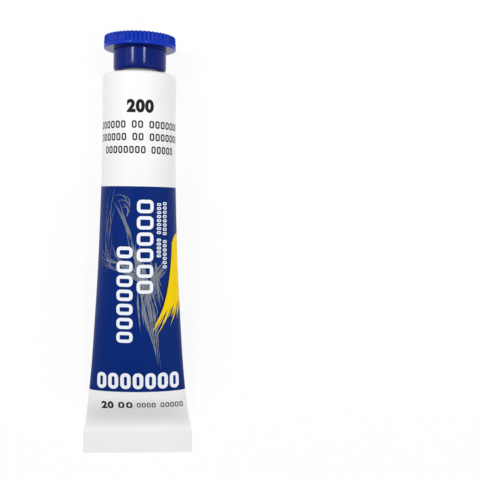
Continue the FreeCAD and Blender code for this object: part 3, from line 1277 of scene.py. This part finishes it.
@dataclass
class Cap:
    """The mushroom cap, turned ring by ring with its flutes, inside thread and piercing spike.

    Sizes are millimetres, and stations are counted from the sleeve's rim plane.

    Attributes:
        form: Form of the sleeve, which holds the axis.
        bottom: Station of the skirt's edge.
        top: Station of the rim that the tube can stand on.
        radius: Radius of the flange.
        bore: Radius of the bore that the thread stands in.
        mouth_chamfer: Chamfer at the bore's mouth.
        skirt_radius: Radius of the skirt.
        skirt_round: Round at the skirt's edge.
        skirt_corner: Fillet between the skirt and the flange.
        flange_height: Height of the flange.
        lip_height: Height of the flange's plain lip, under the flutes.
        lip_round: Round at the lip's edge.
        draft: How much narrower the flange is at the rim than at the lip.
        edge_round: Round at the edges of the rim and the dish.
        flutes: Number of flutes.
        flute_depth: Depth of the grooves between the flutes.
        flute_scallop: How far the rim dips at a groove.
        groove_power: How narrow the flutes' crests are: 1 is a straight flank.
        run_out: Share of the flutes' length over which they run out into the lip.
        points_per_flute: Points of a ring to a flute.
        rim_wall: Width of the level rim inside the grooves.
        dish_depth: Depth of the dish.
        plate: Thickness of the plate under the dish.
        spike_radius: Radius of the spike at its foot.
        spike_tip: Radius of its tip.
        spike_height: Height of the spike.
        pitch: Pitch of the thread.
        ridge_start: Station where the thread's ridge starts.
        ridge_turns: Turns that it runs.
        ridge_height: How far it stands out of the bore.
        ridge_root: Its width at the bore.
        ridge_crest: Its width at the crest.
        thread_step: Distance between the rings that carry the thread.
    """

    form: SleeveForm
    bottom: float
    top: float
    radius: float
    bore: float = 5.35
    mouth_chamfer: float = 0.12
    skirt_radius: float = 6.8
    skirt_round: float = 0.8
    skirt_corner: float = 0.15
    flange_height: float = 3.2
    lip_height: float = 0.55
    lip_round: float = 0.26
    draft: float = 0.15
    edge_round: float = 0.16
    flutes: int = 52
    flute_depth: float = 0.4
    flute_scallop: float = 0.22
    groove_power: float = 1.3
    run_out: float = 0.2
    points_per_flute: int = 12
    rim_wall: float = 1.26
    dish_depth: float = 2.25
    plate: float = 0.9
    spike_radius: float = 1.9
    spike_tip: float = 0.3
    spike_height: float = 2.0
    pitch: float = 1.5
    ridge_start: float = 2.15
    ridge_turns: float = 2.03
    ridge_height: float = 0.45
    ridge_root: float = 0.8
    ridge_crest: float = 0.4
    thread_step: float = 0.1

    @classmethod
    def of_node(cls, node: str, form: SleeveForm) -> "Cap":
        """Reads the cap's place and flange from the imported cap's box.

        Args:
            node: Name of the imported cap.
            form: Form of the sleeve.

        Returns:
            The cap that fits it.
        """
        low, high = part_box(node)
        return cls(form, bottom=low[1] / MM - form.rim_y, top=high[1] / MM - form.rim_y,
                   radius=(high[2] - low[2]) / MM / 2)

    def ring(self, radius: float, station: float, fluted: float = 0.0,
             threaded: bool = False, scalloped: float = 0.0) -> np.ndarray:
        """One ring of the cap.

        Args:
            radius: Radius of the ring, at the crest of a flute.
            station: Its station.
            fluted: Share of the flutes' full depth.
            threaded: True where the inside thread may stand out of the bore.
            scalloped: Share by which the ring dips between the flutes' crests.

        Returns:
            Points in millimetres of the row frame.
        """
        count = self.flutes * self.points_per_flute
        turn = np.arange(count) / count * 2 * math.pi - math.pi
        along = (np.arange(count) % self.points_per_flute) / self.points_per_flute
        groove = np.abs(2 * along - 1) ** self.groove_power
        radii = radius - self.flute_depth * fluted * groove
        stations = self.form.rim_y + station - self.flute_scallop * scalloped * groove
        if threaded:
            radii = radii - self.ridge(turn, station)
        return np.stack([radii * np.sin(turn), stations,
                         self.form.radius + radii * np.cos(turn)], 1)

    def ridge(self, turn: np.ndarray, station: float) -> np.ndarray:
        """How far the right-hand thread stands out of the bore along one ring.

        Args:
            turn: Angles of the ring's points, from the top to the right.
            station: Station of the ring.

        Returns:
            Height of the ridge at each point.
        """
        tall = np.zeros_like(turn)
        start = np.mod(turn - math.pi / 2, 2 * math.pi)
        for lap in range(math.ceil(self.ridge_turns)):
            swept = (start + 2 * math.pi * lap) / (2 * math.pi)
            off = np.abs(station - self.ridge_start - self.pitch * swept)
            flank = (self.ridge_root - self.ridge_crest) / 2
            rise = np.clip((self.ridge_root / 2 - off) / flank, 0, 1)
            fade = np.clip(np.minimum(swept, self.ridge_turns - swept) / 0.06, 0, 1)
            tall = np.maximum(tall, self.ridge_height * rise * fade)
        return tall

    def rounded(self, centre: Point, size: float, start: int, end: int,
                fluted: float = 0.0, scalloped: float = 0.0) -> list[np.ndarray]:
        """Rings round an edge.

        Args:
            centre: Radius and station of the round's centre.
            size: Radius of the round.
            start: Angle that it starts at, in degrees, 0 outwards and 90 towards the rim.
            end: Angle that it ends at.
            fluted: Share of the flutes' full depth.
            scalloped: Share of the flutes' full dip at the end of the round.

        Returns:
            The rings.
        """
        rings = []
        for step in range(5):
            a = math.radians(start + (end - start) * step / 4)
            rings.append(self.ring(centre[0] + size * math.cos(a),
                                   centre[1] + size * math.sin(a), fluted,
                                   scalloped=scalloped * (0.4 + 0.15 * step)))
        return rings

    def build(self) -> bpy.types.Object:
        """Builds the cap from the spike's tip over the rim and the skirt to the bore's ceiling.

        Returns:
            The cap.
        """
        floor = self.top - self.dish_depth
        flange = self.top - self.flange_height
        lip = flange + self.lip_height
        top_radius = self.radius - self.draft
        dish = top_radius - self.flute_depth - self.rim_wall
        edge, lip_round, skirt_round = self.edge_round, self.lip_round, self.skirt_round
        rings = [self.ring(self.spike_tip, floor + self.spike_height),
                 self.ring(self.spike_radius, floor),
                 self.ring(dish * 0.6, floor), self.ring(dish - edge, floor)]
        rings += [self.ring(dish, station)
                  for station in np.linspace(floor + edge, self.top - edge, 4)[:-1]]
        rings += self.rounded((dish + edge, self.top - edge), edge, 180, 90)
        rings += self.rounded((top_radius - edge, self.top - edge), edge, 90, 0, fluted=1.0,
                              scalloped=1.0)
        flute_run = self.top - edge - lip
        for t in (0.2, 0.4, 0.6, 0.75, 0.82, 0.88, 0.93, 0.97, 1.0):
            deep = min(1.0, (1 - t) / self.run_out)
            rings.append(self.ring(top_radius + self.draft * t, self.top - edge - flute_run * t,
                                   fluted=deep * deep * (3 - 2 * deep),
                                   scalloped=max(0, 1 - 2 * t)))
        rings += self.rounded((self.radius - lip_round, flange + lip_round), lip_round, 0, -90)
        corner, skirt_start = self.skirt_radius + self.skirt_corner, flange - self.skirt_corner
        rings += [self.ring(radius, flange) for radius in (8.2, 7.4, corner)]
        rings += [self.ring(self.skirt_radius, station)
                  for station in np.linspace(skirt_start, self.bottom + skirt_round, 9)[:-1]]
        rings += self.rounded((self.skirt_radius - skirt_round, self.bottom + skirt_round),
                              skirt_round, 0, -90)
        rings.append(self.ring(self.bore + self.mouth_chamfer, self.bottom))
        ceiling = floor - self.plate
        rings += [self.ring(self.bore, station, threaded=True)
                  for station in np.arange(self.bottom + self.mouth_chamfer, ceiling,
                                           self.thread_step)]
        rings += [self.ring(self.bore, ceiling), self.ring(self.bore * 0.5, ceiling)]
        piece = closed_shell("cap_fluted", rings)
        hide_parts("cap")
        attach(piece, "cap")
        Palette.POLYPROPYLENE.dress(piece)
        return piece


@dataclass
class Closure:
    """The shoulder with its neck, the membrane and the wad, as packed.

    Attributes:
        finishes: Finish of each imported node.
    """

    finishes: dict[str, Finish] = field(default_factory=lambda: {
        "shoulder_neck": Palette.POLYETHYLENE,
        "neck_foil": Palette.FOIL,
        "cap_liner": Palette.FOAM,
    })

    def dress(self) -> None:
        """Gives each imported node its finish."""
        for node, finish in self.finishes.items():
            finish.dress(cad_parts[node])
            LOG.info("dressed %s in %s", node, finish.name)


# --------------------------------------------------------------------------------------
# Studio
# --------------------------------------------------------------------------------------


class LampRole(Enum):
    """What a lamp is there for."""

    KEY = "key"
    FILL = "fill"
    EDGE_LEFT = "edge_left"
    EDGE_RIGHT = "edge_right"


@dataclass(frozen=True)
class Softbox:
    """One rectangular lamp.

    Attributes:
        role: What it is there for.
        place: Its place in metres.
        target: The point that it looks at.
        size: Its width and length.
        watts: Its power.
    """

    role: LampRole
    place: tuple[float, float, float]
    target: tuple[float, float, float]
    size: tuple[float, float]
    watts: float

    def build(self) -> None:
        """Hangs the lamp."""
        light = bpy.data.lights.new(f"softbox_{self.role.value}", "AREA")
        light.shape = "RECTANGLE"
        light.size, light.size_y = self.size
        light.energy = self.watts
        holder = bpy.data.objects.new(light.name, light)
        holder.location = self.place
        aim = Vector(self.target) - Vector(self.place)
        holder.rotation_euler = aim.to_track_quat("-Z", "Y").to_euler()
        bpy.context.scene.collection.objects.link(holder)


@dataclass
class Studio:
    """Floor, lamps, surroundings and camera.

    Attributes:
        floor_radius: Radius of the table top, in metres.
        floor_drop: How far it lies under the tube, in metres.
        floor_lift: How far the board is lifted to plain white under the tube.
        shadow_reach: Distances from the tube's middle, in metres, over which the rest of the
            way to white is made up.
        surround: Strength of the light from all round.
        lamps: The softboxes.
        camera_place_mm: Place of the camera.
        camera_turn_deg: Its turn about X, Y and Z from looking straight down.
        lens_mm: Its focal length on a 36 mm wide sensor.
    """

    floor_radius: float = 1.5
    floor_drop: float = 0.00002
    floor_lift: float = 0.9
    shadow_reach: tuple[float, float] = (0.08, 0.30)
    surround: float = 0.40
    lamps: tuple[Softbox, ...] = (
        Softbox(LampRole.KEY, (-0.31, 0.15, 0.40), (0, 0, 0), (0.36, 0.42), 0.68),
        Softbox(LampRole.FILL, (0.40, -0.12, 0.38), (0, 0, 0), (0.36, 0.50), 0.62),
        Softbox(LampRole.EDGE_LEFT, (-0.226, 0.150, 0.41), (0, 0.05, 0.01), (0.030, 0.055), 0.50),
        Softbox(LampRole.EDGE_RIGHT, (0.163, 0.150, 0.41), (0, 0.05, 0.01), (0.034, 0.055), 0.55),
    )
    camera_place_mm: tuple[float, float, float] = (11.5, 12.25, 218.1)
    camera_turn_deg: tuple[float, float, float] = (-2.42, -4.16, 0.90)
    lens_mm: float = 59.3

    def build(self) -> None:
        """Sets up the whole studio."""
        self.build_floor()
        self.build_world()
        for lamp in self.lamps:
            lamp.build()
        self.build_camera()
        bpy.context.scene.view_settings.view_transform = "Standard"

    def seen(self, tree: bpy.types.NodeTree) -> Socket:
        """1 for a ray from the camera, off a gloss or through glass.

        Args:
            tree: Node tree that asks.

        Returns:
            Socket with 1 or 0.
        """
        path = add_node(tree, "ShaderNodeLightPath").outputs
        gloss = add_node(tree, "ShaderNodeMath", {"operation": "MAXIMUM"}, {
            0: path["Is Camera Ray"], 1: path["Is Glossy Ray"]})
        return add_node(tree, "ShaderNodeMath", {"operation": "MAXIMUM"}, {
            0: gloss.outputs[0], 1: path["Is Transmission Ray"]}).outputs[0]

    def build_floor(self) -> None:
        """Lays a round white table top that keeps the tube's soft shadow."""
        work = bmesh.new()
        bmesh.ops.create_circle(work, cap_ends=True, radius=self.floor_radius, segments=96)
        mesh = bpy.data.meshes.new("studio_floor")
        work.to_mesh(mesh)
        work.free()
        floor = bpy.data.objects.new("studio_floor", mesh)
        floor.location = (0, 0, -self.floor_drop)
        bpy.context.scene.collection.objects.link(floor)
        # Matt white board, lifted most of the way to plain white where it is seen.
        board = bpy.data.materials.new("painted_board_white")
        board.use_nodes = True
        tree = board.node_tree
        tree.nodes.clear()
        cloud = add_node(tree, "ShaderNodeTexNoise", {}, {"Scale": per_mm(60), "Detail": 2.0})
        tint = add_node(tree, "ShaderNodeMix", {"data_type": "RGBA"}, {
            "Factor": cloud.outputs[0], 6: linear("#fbfbfb"), 7: linear("#f6f6f6")})
        matt = add_node(tree, "ShaderNodeBsdfDiffuse", {}, {"Color": tint.outputs[2]})
        white = add_node(tree, "ShaderNodeEmission", {}, {"Color": (1, 1, 1, 1), "Strength": 1.0})
        out = add_node(tree, "ShaderNodeVectorMath", {"operation": "LENGTH"}, {
            0: add_node(tree, "ShaderNodeTexCoord").outputs["Object"]})
        share = add_node(tree, "ShaderNodeMapRange", {"interpolation_type": "SMOOTHSTEP"}, {
            "Value": out.outputs["Value"], "From Min": self.shadow_reach[0],
            "From Max": self.shadow_reach[1], "To Min": self.floor_lift, "To Max": 1.0})
        lift = add_node(tree, "ShaderNodeMath", {"operation": "MULTIPLY"}, {
            0: self.seen(tree), 1: share.outputs[0]})
        mixed = add_node(tree, "ShaderNodeMixShader", {}, {
            0: lift.outputs[0], 1: matt.outputs[0], 2: white.outputs[0]})
        add_node(tree, "ShaderNodeOutputMaterial", {}, {"Surface": mixed.outputs[0]})
        mesh.materials.append(board)

    def build_world(self) -> None:
        """Surrounds the table with pale light, and with white where it is seen."""
        world = bpy.data.worlds.new("pale_room")
        bpy.context.scene.world = world
        world.use_nodes = True
        tree = world.node_tree
        tree.nodes.clear()
        light = add_node(tree, "ShaderNodeBackground", {}, {
            "Color": linear("#ffffff"), "Strength": self.surround})
        white = add_node(tree, "ShaderNodeBackground", {}, {
            "Color": linear("#ffffff"), "Strength": 1.0})
        mixed = add_node(tree, "ShaderNodeMixShader", {}, {
            0: self.seen(tree), 1: light.outputs[0], 2: white.outputs[0]})
        add_node(tree, "ShaderNodeOutputWorld", {}, {"Surface": mixed.outputs[0]})

    def build_camera(self) -> None:
        """Hangs the camera over the tube, a little to its right, looking down."""
        data = bpy.data.cameras.new("camera")
        data.sensor_width = 36.0
        data.lens = self.lens_mm
        camera = bpy.data.objects.new("camera", data)
        camera.location = [v * MM for v in self.camera_place_mm]
        camera.rotation_euler = Euler([math.radians(v) for v in self.camera_turn_deg], "XYZ")
        bpy.context.scene.collection.objects.link(camera)
        bpy.context.scene.camera = camera


def main() -> None:
    """Builds the tube's looks and the studio round it."""
    logging.basicConfig(level=logging.INFO, format="%(name)s: %(message)s")
    form = SleeveForm.of_node("tube_sleeve")
    sleeve = Sleeve(form)
    cap = Cap.of_node("cap", form)
    for piece in (sleeve.build(), sleeve.fill(), *Artwork(form).build(), cap.build()):
        LOG.info("built %s with %d faces", piece.name, len(piece.data.polygons))
    Closure().dress()
    Studio().build()


if __name__ == "__main__":
    main()
